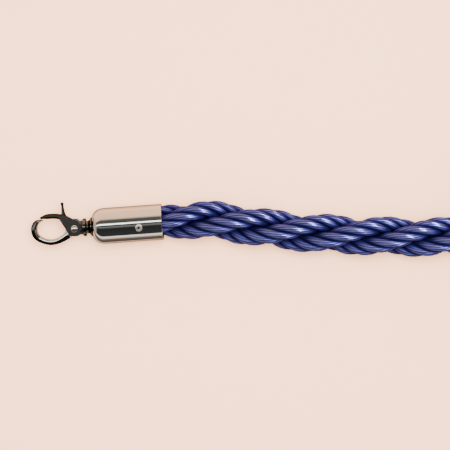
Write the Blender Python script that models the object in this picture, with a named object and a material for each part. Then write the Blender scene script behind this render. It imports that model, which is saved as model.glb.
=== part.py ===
"""Twisted barrier rope, 1.5 m from hook to hook, folded flat for storage.

Each end of the rope is bound, pushed into a chromed end cap and screwed there. A trigger hook
turns in the cap's closed end on its own shank. The near fitting lies along +X, its hook's seat
at the origin and its thumb lever towards +Y. The rope runs on from it, passes a tie strap,
turns round in a loop and comes back through the strap to the far fitting.
"""

import math

import bmesh
import bpy
import numpy as np
from mathutils import Matrix, Vector
from mathutils.geometry import convex_hull_2d

MM = 0.001
GAP = 0.3 * MM

# Rope
ROPE_RADIUS = 15.0 * MM
ROPE_POINTS = 52
ROPE_TAPER = 44.0 * MM
ROPE_BEVEL_STEPS = 3
ROPE_ROUTE_MM = (
    (93.0, 0.0, 0.0), (106, 0.0, 0), (121, -0.7, 0), (138, -3.3, 0), (156, -7.3, 0),
    (172, -10.9, 0), (189, -14.0, 0), (208, -16.8, 0), (229, -19.4, 0), (251, -21.8, 0),
    (276, -24.1, 0), (301, -25.7, 0), (331, -26.5, 0), (364, -26.1, 0), (402, -23.9, 0),
    (442, -20.6, 0.3), (478, -18.0, 1.3), (511, -16.6, 1.9), (547, -16.5, 1.9), (583, -20.0, 0.5),
    (616.5, -32.0, 0), (645.5, -53.5, 0), (672, -78.0, 0), (704, -94.0, 0), (739.5, -97.5, 0),
    (774, -87.5, 0), (802, -66.0, 0), (820.5, -36.5, 0), (827.5, -1.5, 0), (821.5, 33.5, 0),
    (803, 63.5, 0), (775, 85.5, 0), (741, 95.5, 0), (706, 93.0, 0), (673, 77.5, 0),
    (646.5, 53.5, 0), (618, 31.5, 0), (584.5, 18.8, 0.4), (548, 15.2, 1.9), (512, 15.0, 1.9),
    (482, 15.0, 1.2), (458, 15.0, 0.4), (436, 15.0, 0), (413.0, 15.0, 0.0),
)

# Fitting, along its own +X from the hook's seat
FAR_FITTING = (320.4 * MM, 15.0 * MM, 0.0)
CAP_FRONT = 40.8 * MM
CAP_MOUTH = 92.3 * MM
CAP_RADIUS = 13.25 * MM
CAP_WALL = 0.9 * MM
CAP_SHOULDER_LENGTH = 8.6 * MM
CAP_SHOULDER_DROP = 7.2 * MM
CAP_RIM = 0.35 * MM
CAP_SIDES = 32
SHOULDER_STEPS = 5

SHANK_RADIUS = 2.5 * MM
SHANK_END = 48.2 * MM
COLLAR_BACK = 33.9 * MM
COLLAR_FRONT = 36.2 * MM
COLLAR_RADIUS = 6.3 * MM
COLLAR_EDGE = 0.4 * MM
BUSH_BACK = 36.9 * MM
BUSH_SMALL_RADIUS = 4.6 * MM
BUSH_LARGE_RADIUS = 6.7 * MM
BUSH_FLARE = ((0.0, 0.0), (1.6 * MM, 0.33), (2.9 * MM, 0.9), (3.2 * MM, 1.0))
WASHER_THICKNESS = 0.9 * MM
WASHER_RADIUS = 5.4 * MM
NUT_THICKNESS = 4.0 * MM
NUT_RADIUS = 4.6 * MM
TURNED_SIDES = 24
HOLE_SIDES = 16

# Hook and gate: bars as (x, y, half width, half depth) along their middle line
PIVOT = (27.8 * MM, -0.6 * MM)
BAR_CORNERS = 12
BAR_SQUARENESS = 3.0
BOW_ROUTE_MM = (
    (25.2, -3.2, 2.6, 3.3), (21.6, -5.4, 2.6, 3.3), (16.2, -8.2, 2.2, 2.9),
    (9.6, -9.3, 2.15, 2.7), (3.4, -7.5, 2.2, 2.6), (-0.8, -4.3, 2.3, 2.6),
    (-2.15, -0.6, 2.35, 2.6), (-1.7, 3.0, 2.1, 2.5), (0.3, 5.8, 1.5, 2.3),
    (3.0, 6.98, 0.8, 2.1), (4.6, 7.22, 0.5, 1.9),
)
ARM_ROUTE_MM = (
    (20.9, 7.4, 2.2, 3.55), (18.4, 8.6, 2.1, 3.4), (15.2, 9.45, 2.0, 3.2),
    (11.4, 9.8, 1.95, 3.0), (7.8, 9.75, 1.85, 2.8), (5.0, 9.35, 1.3, 2.6),
    (2.7, 8.8, 0.75, 2.4),
)
LEVER_ROUTE_MM = (
    (20.5, 8.4, 1.9, 3.3), (20.0, 11.0, 1.3, 3.1), (19.75, 14.2, 0.95, 3.0),
    (19.6, 17.6, 0.85, 2.9), (19.55, 18.7, 1.05, 2.9), (19.55, 19.4, 0.8, 2.6),
)
STATIONS_PER_SPAN = 2
TONGUE_HALF_DEPTH = 2.2 * MM
TONGUE_DISCS_MM = ((28.2, 1.0, 5.95), (22.8, -2.4, 2.7), (33.6, 4.3, 0.9), (33.6, -4.3, 0.9))
CHEEK_INNER = 2.5 * MM
CHEEK_OUTER = 3.7 * MM
CHEEK_RADIUS = 5.6 * MM
CHEEK_TOE_MM = (19.4, 8.0, 2.5)
CHEEK_CLEARANCE = 0.4 * MM
RECESS_DEPTH = 0.05 * MM
RECESS_POINTS = 40
DISC_POINTS = 28
SEAT_SIZE = (1.0 * MM, 3.0 * MM, 3.0 * MM)

RIVET_RADIUS = 1.5 * MM
RIVET_HEAD_RADIUS = 2.55 * MM
RIVET_HEAD_HEIGHT = 0.8 * MM
RIVET_DOME = ((0.6, 0.85), (1.0, 0.45), (1.0, 0.0))

SPRING_WIRE_RADIUS = 0.35 * MM
SPRING_RADIUS = 2.55 * MM
SPRING_TURNS = 2.85
SPRING_PITCH = 0.85 * MM
SPRING_START = -0.85 * MM
SPRING_LEG = 7.2 * MM
SPRING_LEG_STEPS = 3
SPRING_STEPS_PER_TURN = 12
SPRING_SIDES = 6
POCKET_RADIUS = 3.4 * MM
POCKET_FLOOR = -1.5 * MM
LEG_SLOT_FLOOR = 0.9 * MM
LEG_SLOT_ANGLES = (62, 150)
LEG_SLOT_POINTS = 12
LEG_ANGLE = 150

# Fixing screws and bound rope end
SCREW_AT = 75.6 * MM
SCREW_TILT = 14
SCREW_RADIUS = 1.5 * MM
SCREW_HEAD_RADIUS = 2.6 * MM
SCREW_HEAD_HEIGHT = 0.75 * MM
SCREW_DEPTH = 8.0 * MM
SCREW_DOME = ((0.5, 0.92), (1.0, 0.6), (1.0, 0.0))
SCREW_SIDES = 20
HEX_RADIUS = 1.1 * MM
HEX_FLOOR = 0.15 * MM
BINDING_RADIUS = 12.0 * MM
BINDING_START = 60.0 * MM
BINDING_CHAMFER = 1.0 * MM

# Tie strap round both runs
TIE_AT = 530.0 * MM
TIE_WIDTH = 22.0 * MM
TIE_THICKNESS = 1.6 * MM
TIE_CLEARANCE = 0.4 * MM
TIE_RUNS_Y = (-16.5 * MM, 15.0 * MM)
TIE_RUN_HEIGHT = 2.0 * MM
TIE_ARC_STEPS = 14


def clear_scene():
    for obj in list(bpy.data.objects):
        bpy.data.objects.remove(obj, do_unlink=True)


def make_material(name, colour, metallic, roughness):
    material = bpy.data.materials.new(name)
    material.use_nodes = True
    shader = material.node_tree.nodes["Principled BSDF"]
    shader.inputs["Base Color"].default_value = (*colour, 1.0)
    shader.inputs["Metallic"].default_value = metallic
    shader.inputs["Roughness"].default_value = roughness
    return material


def millimetres(rows):
    """Rows of numbers in millimetres, as metres."""
    return [tuple(value * MM for value in row) for row in rows]


def smooth_line(points, count):
    """Evenly spaced points on the natural cubic spline through the given points."""
    points = np.array(points, float)
    steps = np.linalg.norm(np.diff(points[:, :3], axis=0), axis=1)
    knots = np.concatenate([[0.0], np.cumsum(steps)])
    size = len(points)
    system = np.eye(size)
    slopes = np.diff(points, axis=0) / steps[:, None]
    target = np.zeros_like(points)
    for k in range(1, size - 1):
        system[k, k - 1 : k + 2] = steps[k - 1], 2 * (steps[k - 1] + steps[k]), steps[k]
        target[k] = 6 * (slopes[k] - slopes[k - 1])
    bend = np.linalg.solve(system, target)

    def at(s):
        k = min(max(int(np.searchsorted(knots, s)) - 1, 0), size - 2)
        h = steps[k]
        a, b = (knots[k + 1] - s) / h, (s - knots[k]) / h
        cubic = ((a**3 - a) * bend[k] + (b**3 - b) * bend[k + 1]) * h * h / 6
        return a * points[k] + b * points[k + 1] + cubic

    fine = np.array([at(s) for s in np.linspace(0, knots[-1], 12 * size)])
    along = np.linalg.norm(np.diff(fine[:, :3], axis=0), axis=1)
    along = np.concatenate([[0.0], np.cumsum(along)])
    even = np.linspace(0, along[-1], count)
    return np.array([np.interp(even, along, column) for column in fine.T]).T


def add_object(name, mesh, material, parent=None, origin=(0, 0, 0)):
    """A mesh object whose mesh is drawn about the parent's frame, with its own origin in it."""
    mesh.transform(Matrix.Translation(-Vector(origin)))
    obj = bpy.data.objects.new(name, mesh)
    bpy.context.collection.objects.link(obj)
    obj.parent = parent
    obj.location = origin
    mesh.materials.append(material)
    return obj


def add_empty(name, location, parent=None):
    empty = bpy.data.objects.new(name, None)
    bpy.context.collection.objects.link(empty)
    empty.parent = parent
    empty.location = location
    empty.empty_display_size = 5 * MM
    return empty


def to_mesh(name, shape, sharp_degrees=35):
    bmesh.ops.recalc_face_normals(shape, faces=shape.faces)
    mesh = bpy.data.meshes.new(name)
    shape.to_mesh(mesh)
    shape.free()
    mesh.shade_smooth()
    mesh.set_sharp_from_angle(angle=math.radians(sharp_degrees))
    return mesh


def turned(outline, sides, closed=True):
    """A solid turned about X from an outline of (x, radius) points."""
    shape = bmesh.new()
    verts = [shape.verts.new((x, r, 0)) for x, r in outline]
    pairs = list(zip(verts, verts[1:]))
    if closed:
        pairs.append((verts[-1], verts[0]))
    edges = [shape.edges.new(pair) for pair in pairs]
    bmesh.ops.spin(
        shape, geom=verts + edges, cent=(0, 0, 0), axis=(1, 0, 0),
        angle=math.tau, steps=sides, use_merge=True,
    )
    bmesh.ops.remove_doubles(shape, verts=shape.verts, dist=1e-6)
    return shape


def bar(route):
    """A rounded bar swept in the XY plane along (x, y, half width, half depth) rows."""
    spans = (len(route) - 1) * STATIONS_PER_SPAN + 1
    rows = smooth_line([(x, y, 0, a, b) for x, y, a, b in route], spans)
    centres = rows[:, :2]
    ways = np.gradient(centres, axis=0)
    ways /= np.linalg.norm(ways, axis=1)[:, None]
    power = 2 / BAR_SQUARENESS
    shape = bmesh.new()
    rings = []
    for (x, y), (wx, wy), (a, b) in zip(centres, ways, rows[:, 3:]):
        ring = []
        for k in range(BAR_CORNERS):
            turn = math.tau * (k + 0.5) / BAR_CORNERS
            c, s = math.cos(turn), math.sin(turn)
            u = a * math.copysign(abs(c) ** power, c)
            v = b * math.copysign(abs(s) ** power, s)
            ring.append(shape.verts.new((x - wy * u, y + wx * u, v)))
        rings.append(ring)
    for first, second in zip(rings, rings[1:]):
        for k in range(BAR_CORNERS):
            n = (k + 1) % BAR_CORNERS
            shape.faces.new((first[k], first[n], second[n], second[k]))
    shape.faces.new(rings[0])
    shape.faces.new(rings[-1])
    return shape


def circle_points(x, y, radius, count=DISC_POINTS, start=0, stop=360):
    angles = [math.radians(start + (stop - start) * k / count) for k in range(count)]
    return [(x + radius * math.cos(a), y + radius * math.sin(a)) for a in angles]


def plate(outline, low, high):
    """A flat plate of one outline, between two heights."""
    shape = bmesh.new()
    face = shape.faces.new([shape.verts.new((x, y, low)) for x, y in outline])
    raised = bmesh.ops.extrude_face_region(shape, geom=[face])["geom"]
    moved = [item for item in raised if isinstance(item, bmesh.types.BMVert)]
    bmesh.ops.translate(shape, verts=moved, vec=(0, 0, high - low))
    return shape


def hull_plate(discs, low, high):
    """A plate round several discs, pulled tight like a belt."""
    points = [p for x, y, r in discs for p in circle_points(x, y, r)]
    return plate([points[k] for k in convex_hull_2d(points)], low, high)


def block(low, high):
    shape = bmesh.new()
    bmesh.ops.create_cube(shape, size=1.0)
    middle = (Vector(low) + Vector(high)) / 2
    size = Vector(high) - Vector(low)
    place = Matrix.Translation(middle) @ Matrix.Diagonal((*size, 1.0))
    bmesh.ops.transform(shape, matrix=place, verts=shape.verts)
    return shape


def combine(target, operation, name, shape, material, parent):
    """Join or cut the target with a helper solid that stays hidden."""
    helper = add_object(name, to_mesh(name, shape), material, parent)
    helper.hide_render = True
    helper.display_type = "WIRE"
    modifier = target.modifiers.new(name, "BOOLEAN")
    modifier.operation = operation
    modifier.object = helper


def about_pivot(shape):
    """Turn a solid made about X into one about Z through the gate's pivot."""
    place = Matrix.Translation((*PIVOT, 0)) @ Matrix.Rotation(math.radians(-90), 4, "Y")
    bmesh.ops.transform(shape, matrix=place, verts=shape.verts)
    return shape


def rod(radius, low, high, sides=TURNED_SIDES):
    return turned([(low, 0), (low, radius), (high, radius), (high, 0)], sides, closed=False)


def tube_along(points, radius, sides):
    """A round wire along points, its section turned with the line."""
    shape = bmesh.new()
    points = [Vector(p) for p in points]
    rings = []
    side = Vector((0, 0, 1))
    for k, point in enumerate(points):
        way = (points[min(k + 1, len(points) - 1)] - points[max(k - 1, 0)]).normalized()
        across = way.cross(side).normalized()
        up = across.cross(way)
        turns = [math.tau * n / sides for n in range(sides)]
        rings.append([
            shape.verts.new(point + radius * (math.cos(t) * across + math.sin(t) * up))
            for t in turns
        ])
    for first, second in zip(rings, rings[1:]):
        for n in range(sides):
            m = (n + 1) % sides
            shape.faces.new((first[n], first[m], second[m], second[n]))
    shape.faces.new(rings[0])
    shape.faces.new(rings[-1])
    return shape


def make_hook(name, chrome, swivel):
    """Bow, tongue, base collar and shank, cast in one piece."""
    hook = add_object(name, to_mesh(name, bar(millimetres(BOW_ROUTE_MM))), chrome, swivel)
    tongue = hull_plate(millimetres(TONGUE_DISCS_MM), -TONGUE_HALF_DEPTH, TONGUE_HALF_DEPTH)
    combine(hook, "UNION", f"{name}_tongue", tongue, chrome, swivel)
    edge = COLLAR_EDGE
    shank = turned(
        [
            (COLLAR_BACK, 0), (COLLAR_BACK, COLLAR_RADIUS - edge),
            (COLLAR_BACK + edge, COLLAR_RADIUS), (COLLAR_FRONT - edge, COLLAR_RADIUS),
            (COLLAR_FRONT, COLLAR_RADIUS - edge), (COLLAR_FRONT, SHANK_RADIUS),
            (SHANK_END - edge, SHANK_RADIUS), (SHANK_END, SHANK_RADIUS - edge), (SHANK_END, 0),
        ],
        TURNED_SIDES, closed=False,
    )
    combine(hook, "UNION", f"{name}_shank", shank, chrome, swivel)
    floor = TONGUE_HALF_DEPTH - RECESS_DEPTH
    reach = 2 * CHEEK_OUTER
    recess = CHEEK_RADIUS + CHEEK_CLEARANCE
    for label, low, high in (("upper", floor, reach), ("lower", -reach, -floor)):
        cutter = plate(circle_points(*PIVOT, recess, RECESS_POINTS), low, high)
        combine(hook, "DIFFERENCE", f"{name}_{label}_recess", cutter, chrome, swivel)
    hole = about_pivot(rod(RIVET_RADIUS + GAP, -reach, reach))
    combine(hook, "DIFFERENCE", f"{name}_rivet_hole", hole, chrome, swivel)
    pocket = about_pivot(rod(POCKET_RADIUS, POCKET_FLOOR, reach))
    combine(hook, "DIFFERENCE", f"{name}_spring_pocket", pocket, chrome, swivel)
    fan = [PIVOT] + circle_points(*PIVOT, 2 * CHEEK_RADIUS, LEG_SLOT_POINTS, *LEG_SLOT_ANGLES)
    slot = plate(fan, LEG_SLOT_FLOOR, reach)
    combine(hook, "DIFFERENCE", f"{name}_leg_slot", slot, chrome, swivel)
    depth, length, width = SEAT_SIZE
    seat = block((0, -length / 2, -width / 2), (depth, length / 2, width / 2))
    combine(hook, "DIFFERENCE", f"{name}_seat_land", seat, chrome, swivel)


def make_gate(name, chrome, gate_axis):
    """Forked trigger: arm over the eye, two cheeks on the rivet and a thumb lever."""
    origin = Vector((*PIVOT, 0))
    arm = bar(millimetres(ARM_ROUTE_MM))
    bmesh.ops.translate(arm, verts=arm.verts, vec=-origin)
    gate = add_object(name, to_mesh(name, arm), chrome, gate_axis)
    toe = millimetres([CHEEK_TOE_MM])[0]
    helpers = [(f"{name}_lever", "UNION", bar(millimetres(LEVER_ROUTE_MM)))]
    for label, low, high in (
        ("upper", CHEEK_INNER, CHEEK_OUTER), ("lower", -CHEEK_OUTER, -CHEEK_INNER),
    ):
        cheek = hull_plate([(*PIVOT, CHEEK_RADIUS), toe], low, high)
        helpers.append((f"{name}_{label}_cheek", "UNION", cheek))
    reach = 2 * CHEEK_OUTER
    hole = about_pivot(rod(RIVET_RADIUS + GAP, -reach, reach))
    helpers.append((f"{name}_rivet_hole", "DIFFERENCE", hole))
    for label, operation, shape in helpers:
        bmesh.ops.translate(shape, verts=shape.verts, vec=-origin)
        combine(gate, operation, label, shape, chrome, gate_axis)


def domed(seat, height, radius, dome):
    """Outline points of a domed head, from (height share, radius share) rows."""
    return [(seat + up * height, out * radius) for up, out in dome]


def make_rivet(name, chrome, swivel):
    seat = CHEEK_OUTER + GAP
    half = [(seat, RIVET_RADIUS), (seat, RIVET_HEAD_RADIUS)]
    half += domed(seat, RIVET_HEAD_HEIGHT, RIVET_HEAD_RADIUS, RIVET_DOME)
    outline = [(-x, r) for x, r in reversed(half)] + half
    rivet = about_pivot(turned(outline, TURNED_SIDES, closed=False))
    add_object(name, to_mesh(name, rivet), chrome, swivel, (*PIVOT, 0))


def make_spring(name, steel, swivel):
    """Torsion spring round the rivet; one leg presses the gate's arm shut."""
    px, py = PIVOT
    per_turn = SPRING_STEPS_PER_TURN
    count = round(SPRING_TURNS * per_turn)
    last = math.radians(LEG_ANGLE - 90)
    coil = []
    for k in range(count + 1):
        angle = last - math.tau * (count - k) / per_turn
        height = SPRING_START + SPRING_PITCH * k / per_turn
        x = px + SPRING_RADIUS * math.cos(angle)
        y = py + SPRING_RADIUS * math.sin(angle)
        coil.append((x, y, height))
    way = math.radians(LEG_ANGLE)
    x, y, z = coil[-1]
    step = SPRING_LEG / SPRING_LEG_STEPS
    leg = [
        (x + k * step * math.cos(way), y + k * step * math.sin(way), z)
        for k in range(1, SPRING_LEG_STEPS + 1)
    ]
    wire = tube_along(coil + leg, SPRING_WIRE_RADIUS, SPRING_SIDES)
    add_object(name, to_mesh(name, wire, 60), steel, swivel, (px, py, 0))


def make_swivel_parts(prefix, chrome, steel, fitting, swivel):
    bore = SHANK_RADIUS + GAP
    bush_front = CAP_FRONT - GAP
    rise = BUSH_LARGE_RADIUS - BUSH_SMALL_RADIUS
    flare = [(BUSH_BACK, bore)]
    flare += [(BUSH_BACK + run, BUSH_SMALL_RADIUS + share * rise) for run, share in BUSH_FLARE]
    flare += [(bush_front, BUSH_LARGE_RADIUS), (bush_front, bore)]
    name = f"{prefix}_swivel_collar"
    add_object(name, to_mesh(name, turned(flare, TURNED_SIDES)), chrome, fitting)
    start = CAP_FRONT + CAP_WALL + GAP
    end = start + WASHER_THICKNESS
    name = f"{prefix}_swivel_washer"
    ring = [(start, bore), (start, WASHER_RADIUS), (end, WASHER_RADIUS), (end, bore)]
    add_object(name, to_mesh(name, turned(ring, TURNED_SIDES)), steel, fitting)
    start = end + GAP
    end = start + NUT_THICKNESS
    name = f"{prefix}_swivel_nut"
    nut = add_object(name, to_mesh(name, rod(NUT_RADIUS, start, end, 6)), steel, swivel)
    hole = rod(bore, start - CAP_WALL, end + CAP_WALL)
    combine(nut, "DIFFERENCE", f"{name}_hole", hole, steel, swivel)


def screw_place(side):
    """Frame of a fixing screw, its +X pointing out of the cap."""
    tilt = Matrix.Rotation(math.radians(SCREW_TILT + 180 * side), 4, "X")
    return Matrix.Translation((SCREW_AT, 0, 0)) @ tilt @ Matrix.Rotation(math.radians(-90), 4, "Y")


def shoulder_line(start, radius, length, drop):
    """A quarter of an ellipse, from the cap's closed end out to its barrel."""
    turns = [math.radians(90 * k / SHOULDER_STEPS) for k in range(SHOULDER_STEPS + 1)]
    return [
        (start + length * (1 - math.cos(t)), radius - drop * (1 - math.sin(t))) for t in turns
    ]


def make_cap(prefix, chrome, fitting):
    shoulder = shoulder_line(CAP_FRONT, CAP_RADIUS, CAP_SHOULDER_LENGTH, CAP_SHOULDER_DROP)
    lining = shoulder_line(
        CAP_FRONT + CAP_WALL, CAP_RADIUS - CAP_WALL,
        CAP_SHOULDER_LENGTH - CAP_WALL, CAP_SHOULDER_DROP - CAP_WALL / 2,
    )
    bore = SHANK_RADIUS + GAP
    outline = [(CAP_FRONT, bore)] + shoulder
    outline += [(CAP_MOUTH - CAP_RIM, CAP_RADIUS), (CAP_MOUTH, CAP_RADIUS - CAP_RIM)]
    outline += [(CAP_MOUTH, CAP_RADIUS - CAP_WALL)] + lining[::-1]
    outline += [(CAP_FRONT + CAP_WALL, bore)]
    name = f"{prefix}_end_cap"
    cap = add_object(name, to_mesh(name, turned(outline, CAP_SIDES)), chrome, fitting)
    for side in (0, 1):
        hole = rod(SCREW_RADIUS + GAP, CAP_RADIUS - 3 * CAP_WALL, CAP_RADIUS + CAP_WALL, HOLE_SIDES)
        bmesh.ops.transform(hole, matrix=screw_place(side), verts=hole.verts)
        combine(cap, "DIFFERENCE", f"{name}_screw_hole_{side + 1}", hole, chrome, fitting)


def make_screws(prefix, chrome, fitting):
    seat = CAP_RADIUS + GAP
    head = [
        (CAP_RADIUS - SCREW_DEPTH, 0), (CAP_RADIUS - SCREW_DEPTH + SCREW_RADIUS, SCREW_RADIUS),
        (seat, SCREW_RADIUS), (seat, SCREW_HEAD_RADIUS),
    ]
    head += domed(seat, SCREW_HEAD_HEIGHT, SCREW_HEAD_RADIUS, SCREW_DOME)
    for side in (0, 1):
        name = f"{prefix}_fixing_screw_{side + 1}"
        screw = turned(head, SCREW_SIDES, closed=False)
        bmesh.ops.transform(screw, matrix=screw_place(side), verts=screw.verts)
        obj = add_object(name, to_mesh(name, screw), chrome, fitting)
        top = seat + 2 * SCREW_HEAD_HEIGHT
        recess = rod(HEX_RADIUS, seat + HEX_FLOOR, top, 6)
        bmesh.ops.transform(recess, matrix=screw_place(side), verts=recess.verts)
        combine(obj, "DIFFERENCE", f"{name}_recess", recess, chrome, fitting)


def make_bound_end(prefix, cord, fitting):
    end = CAP_MOUTH - GAP
    inner = BINDING_RADIUS - BINDING_CHAMFER
    outline = [
        (BINDING_START, 0), (BINDING_START, inner),
        (BINDING_START + BINDING_CHAMFER, BINDING_RADIUS), (end, BINDING_RADIUS), (end, 0),
    ]
    name = f"{prefix}_bound_end"
    plug = add_object(name, to_mesh(name, turned(outline, TURNED_SIDES, closed=False)), cord, fitting)
    low = CAP_RADIUS - SCREW_DEPTH - 2 * GAP
    for side in (0, 1):
        hole = rod(SCREW_RADIUS + GAP, low, CAP_RADIUS, HOLE_SIDES)
        bmesh.ops.transform(hole, matrix=screw_place(side), verts=hole.verts)
        combine(plug, "DIFFERENCE", f"{name}_screw_hole_{side + 1}", hole, cord, fitting)


def make_fitting(prefix, location, materials):
    chrome, steel, binding = (materials[key] for key in ("chrome", "steel", "binding"))
    fitting = add_empty(f"{prefix}_fitting", location)
    swivel = add_empty(f"{prefix}_swivel_axis", (0, 0, 0), fitting)
    gate_axis = add_empty(f"{prefix}_gate_axis", (*PIVOT, 0), swivel)
    make_hook(f"{prefix}_hook", chrome, swivel)
    make_gate(f"{prefix}_gate", chrome, gate_axis)
    make_rivet(f"{prefix}_pivot_rivet", chrome, swivel)
    make_spring(f"{prefix}_gate_spring", steel, swivel)
    make_swivel_parts(prefix, chrome, steel, fitting, swivel)
    make_cap(prefix, chrome, fitting)
    make_screws(prefix, chrome, fitting)
    make_bound_end(prefix, binding, fitting)


def make_rope(material):
    """The rope's full length between the two cap mouths, narrowed where it enters them."""
    line = smooth_line(millimetres(ROPE_ROUTE_MM), ROPE_POINTS)
    gone = np.linalg.norm(np.diff(line, axis=0), axis=1)
    gone = np.concatenate([[0.0], np.cumsum(gone)])
    curve = bpy.data.curves.new("rope", "CURVE")
    curve.dimensions = "3D"
    curve.bevel_depth = ROPE_RADIUS
    curve.bevel_resolution = ROPE_BEVEL_STEPS
    curve.use_fill_caps = True
    spline = curve.splines.new("POLY")
    spline.points.add(len(line) - 1)
    narrow = CAP_RADIUS / ROPE_RADIUS
    for point, place, before in zip(spline.points, line, gone):
        nearest = min(before, gone[-1] - before)
        share = min(nearest / ROPE_TAPER, 1.0)
        point.co = (*place, 1.0)
        point.radius = narrow + (1 - narrow) * math.sin(share * math.pi / 2)
    curve.materials.append(material)
    rope = bpy.data.objects.new("rope", curve)
    bpy.context.collection.objects.link(rope)


def make_tie(material):
    """A strap pulled round both runs of the rope."""
    middle = sum(TIE_RUNS_Y) / 2
    half = (TIE_RUNS_Y[1] - TIE_RUNS_Y[0]) / 2
    inner = ROPE_RADIUS + TIE_CLEARANCE
    shape = bmesh.new()
    loops = []
    for radius in (inner, inner + TIE_THICKNESS):
        outline = []
        for centre, start in ((middle + half, -90), (middle - half, 90)):
            for k in range(TIE_ARC_STEPS + 1):
                turn = math.radians(start + 180 * k / TIE_ARC_STEPS)
                y = centre + radius * math.cos(turn)
                outline.append((y, TIE_RUN_HEIGHT + radius * math.sin(turn)))
        for x in (TIE_AT - TIE_WIDTH / 2, TIE_AT + TIE_WIDTH / 2):
            loops.append([shape.verts.new((x, y, z)) for y, z in outline])
    for first, second in ((0, 1), (1, 3), (3, 2), (2, 0)):
        a, b = loops[first], loops[second]
        for k in range(len(a)):
            n = (k + 1) % len(a)
            shape.faces.new((a[k], a[n], b[n], b[k]))
    add_object("tie_strap", to_mesh("tie_strap", shape), material)


def main():
    clear_scene()
    materials = {
        "chrome": make_material("polished_chrome", (0.78, 0.79, 0.80), 1.0, 0.08),
        "steel": make_material("plain_steel", (0.45, 0.45, 0.46), 1.0, 0.35),
        "binding": make_material("whipping_twine", (0.10, 0.11, 0.30), 0.0, 0.8),
    }
    rope = make_material("blue_rayon", (0.045, 0.055, 0.30), 0.0, 0.45)
    strap = make_material("dark_strap", (0.02, 0.022, 0.05), 0.0, 0.85)
    make_fitting("near", (0, 0, 0), materials)
    make_fitting("far", FAR_FITTING, materials)
    make_rope(rope)
    make_tie(strap)


main()
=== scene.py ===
"""Looks of a twisted barrier rope: satin cord laid from counter-twisted plies, chromed end caps
with trigger hooks, and a woven tie strap round the folded length."""

import math

import bmesh
import bpy
import numpy as np
from mathutils import Matrix, Vector
from mathutils.geometry import convex_hull_2d


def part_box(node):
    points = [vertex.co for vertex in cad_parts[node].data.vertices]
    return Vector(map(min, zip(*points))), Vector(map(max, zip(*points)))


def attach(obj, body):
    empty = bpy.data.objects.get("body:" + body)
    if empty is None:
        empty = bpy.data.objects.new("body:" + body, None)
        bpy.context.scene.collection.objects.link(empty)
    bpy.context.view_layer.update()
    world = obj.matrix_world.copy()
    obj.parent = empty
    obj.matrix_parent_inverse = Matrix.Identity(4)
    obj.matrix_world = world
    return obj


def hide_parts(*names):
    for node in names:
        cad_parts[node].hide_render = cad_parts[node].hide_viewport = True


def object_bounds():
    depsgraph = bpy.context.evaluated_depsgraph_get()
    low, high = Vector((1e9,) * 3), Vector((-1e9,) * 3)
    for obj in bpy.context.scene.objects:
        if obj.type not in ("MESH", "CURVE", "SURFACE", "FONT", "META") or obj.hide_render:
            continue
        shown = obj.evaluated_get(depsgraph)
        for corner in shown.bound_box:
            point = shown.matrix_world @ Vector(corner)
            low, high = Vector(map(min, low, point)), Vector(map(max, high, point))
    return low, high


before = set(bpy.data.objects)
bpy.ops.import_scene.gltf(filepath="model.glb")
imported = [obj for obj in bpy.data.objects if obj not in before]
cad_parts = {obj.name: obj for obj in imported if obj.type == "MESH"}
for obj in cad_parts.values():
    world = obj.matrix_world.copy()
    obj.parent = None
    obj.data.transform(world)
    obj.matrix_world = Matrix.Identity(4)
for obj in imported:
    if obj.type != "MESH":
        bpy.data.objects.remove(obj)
CAD_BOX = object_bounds()

MM = 0.001

# Rope
ROPE_ROUTE_MM = (
    (93.0, 0.0, 0.0), (106, 0.0, 0), (121, -0.7, 0), (138, -3.3, 0), (156, -7.3, 0),
    (172, -10.9, 0), (189, -14.0, 0), (208, -16.8, 0), (229, -19.4, 0), (251, -21.8, 0),
    (276, -24.1, 0), (301, -25.7, 0), (331, -26.5, 0), (364, -26.1, 0), (402, -23.9, 0),
    (442, -20.6, 0.3), (478, -18.0, 1.3), (511, -16.6, 1.9), (547, -16.5, 1.9), (583, -20.0, 0.5),
    (616.5, -32.0, 0), (645.5, -53.5, 0), (672, -78.0, 0), (704, -94.0, 0), (739.5, -97.5, 0),
    (774, -87.5, 0), (802, -66.0, 0), (820.5, -36.5, 0), (827.5, -1.5, 0), (821.5, 33.5, 0),
    (803, 63.5, 0), (775, 85.5, 0), (741, 95.5, 0), (706, 93.0, 0), (673, 77.5, 0),
    (646.5, 53.5, 0), (618, 31.5, 0), (584.5, 18.8, 0.4), (548, 15.2, 1.9), (512, 15.0, 1.9),
    (482, 15.0, 1.2), (458, 15.0, 0.4), (436, 15.0, 0), (413.0, 15.0, 0.0),
)
ROPE_DIAMETER = 30.0 * MM
ROPE_INSIDE_CAP = 7.0 * MM
STRANDS = 3
PLIES = 4
STRAND_LAY = 127.0 * MM
PLY_LAY = 36.5 * MM
STRAND_START = 0.64
PLY_FULLNESS = 0.96
PLY_UNEVENNESS = 0.10
PLY_SIDES = 12
ROPE_STEP = 2.6 * MM
MOUTH_RADIUS = 12.2 * MM
SWELL_LENGTH = 44.0 * MM
SWELL_POWER = 0.6
UNEVEN_SCALES = (45.0, 3.7)
YARNS = 9
YARN_LAY = 90.0 * MM
ROUTE_POINTS = 700
CORD_PATH_STEP = 6
SPLINE_SAMPLES = 12

# Fitting, along its own +X from the hook's seat
CAP_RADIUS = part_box("near_end_cap")[1].y
CAP_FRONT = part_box("near_end_cap")[0].x
CAP_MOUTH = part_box("near_end_cap")[1].x
CAP_WALL = 0.9 * MM
CAP_SHOULDER_LENGTH = 8.6 * MM
CAP_SHOULDER_DROP = 7.2 * MM
CAP_SHOULDER_STEPS = 18
CAP_LIP_STEPS = 6
CAP_BORE_GAP = 0.2 * MM
CAP_SIDES = 128
FAR_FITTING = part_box("far_hook")[0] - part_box("near_hook")[0]

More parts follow.
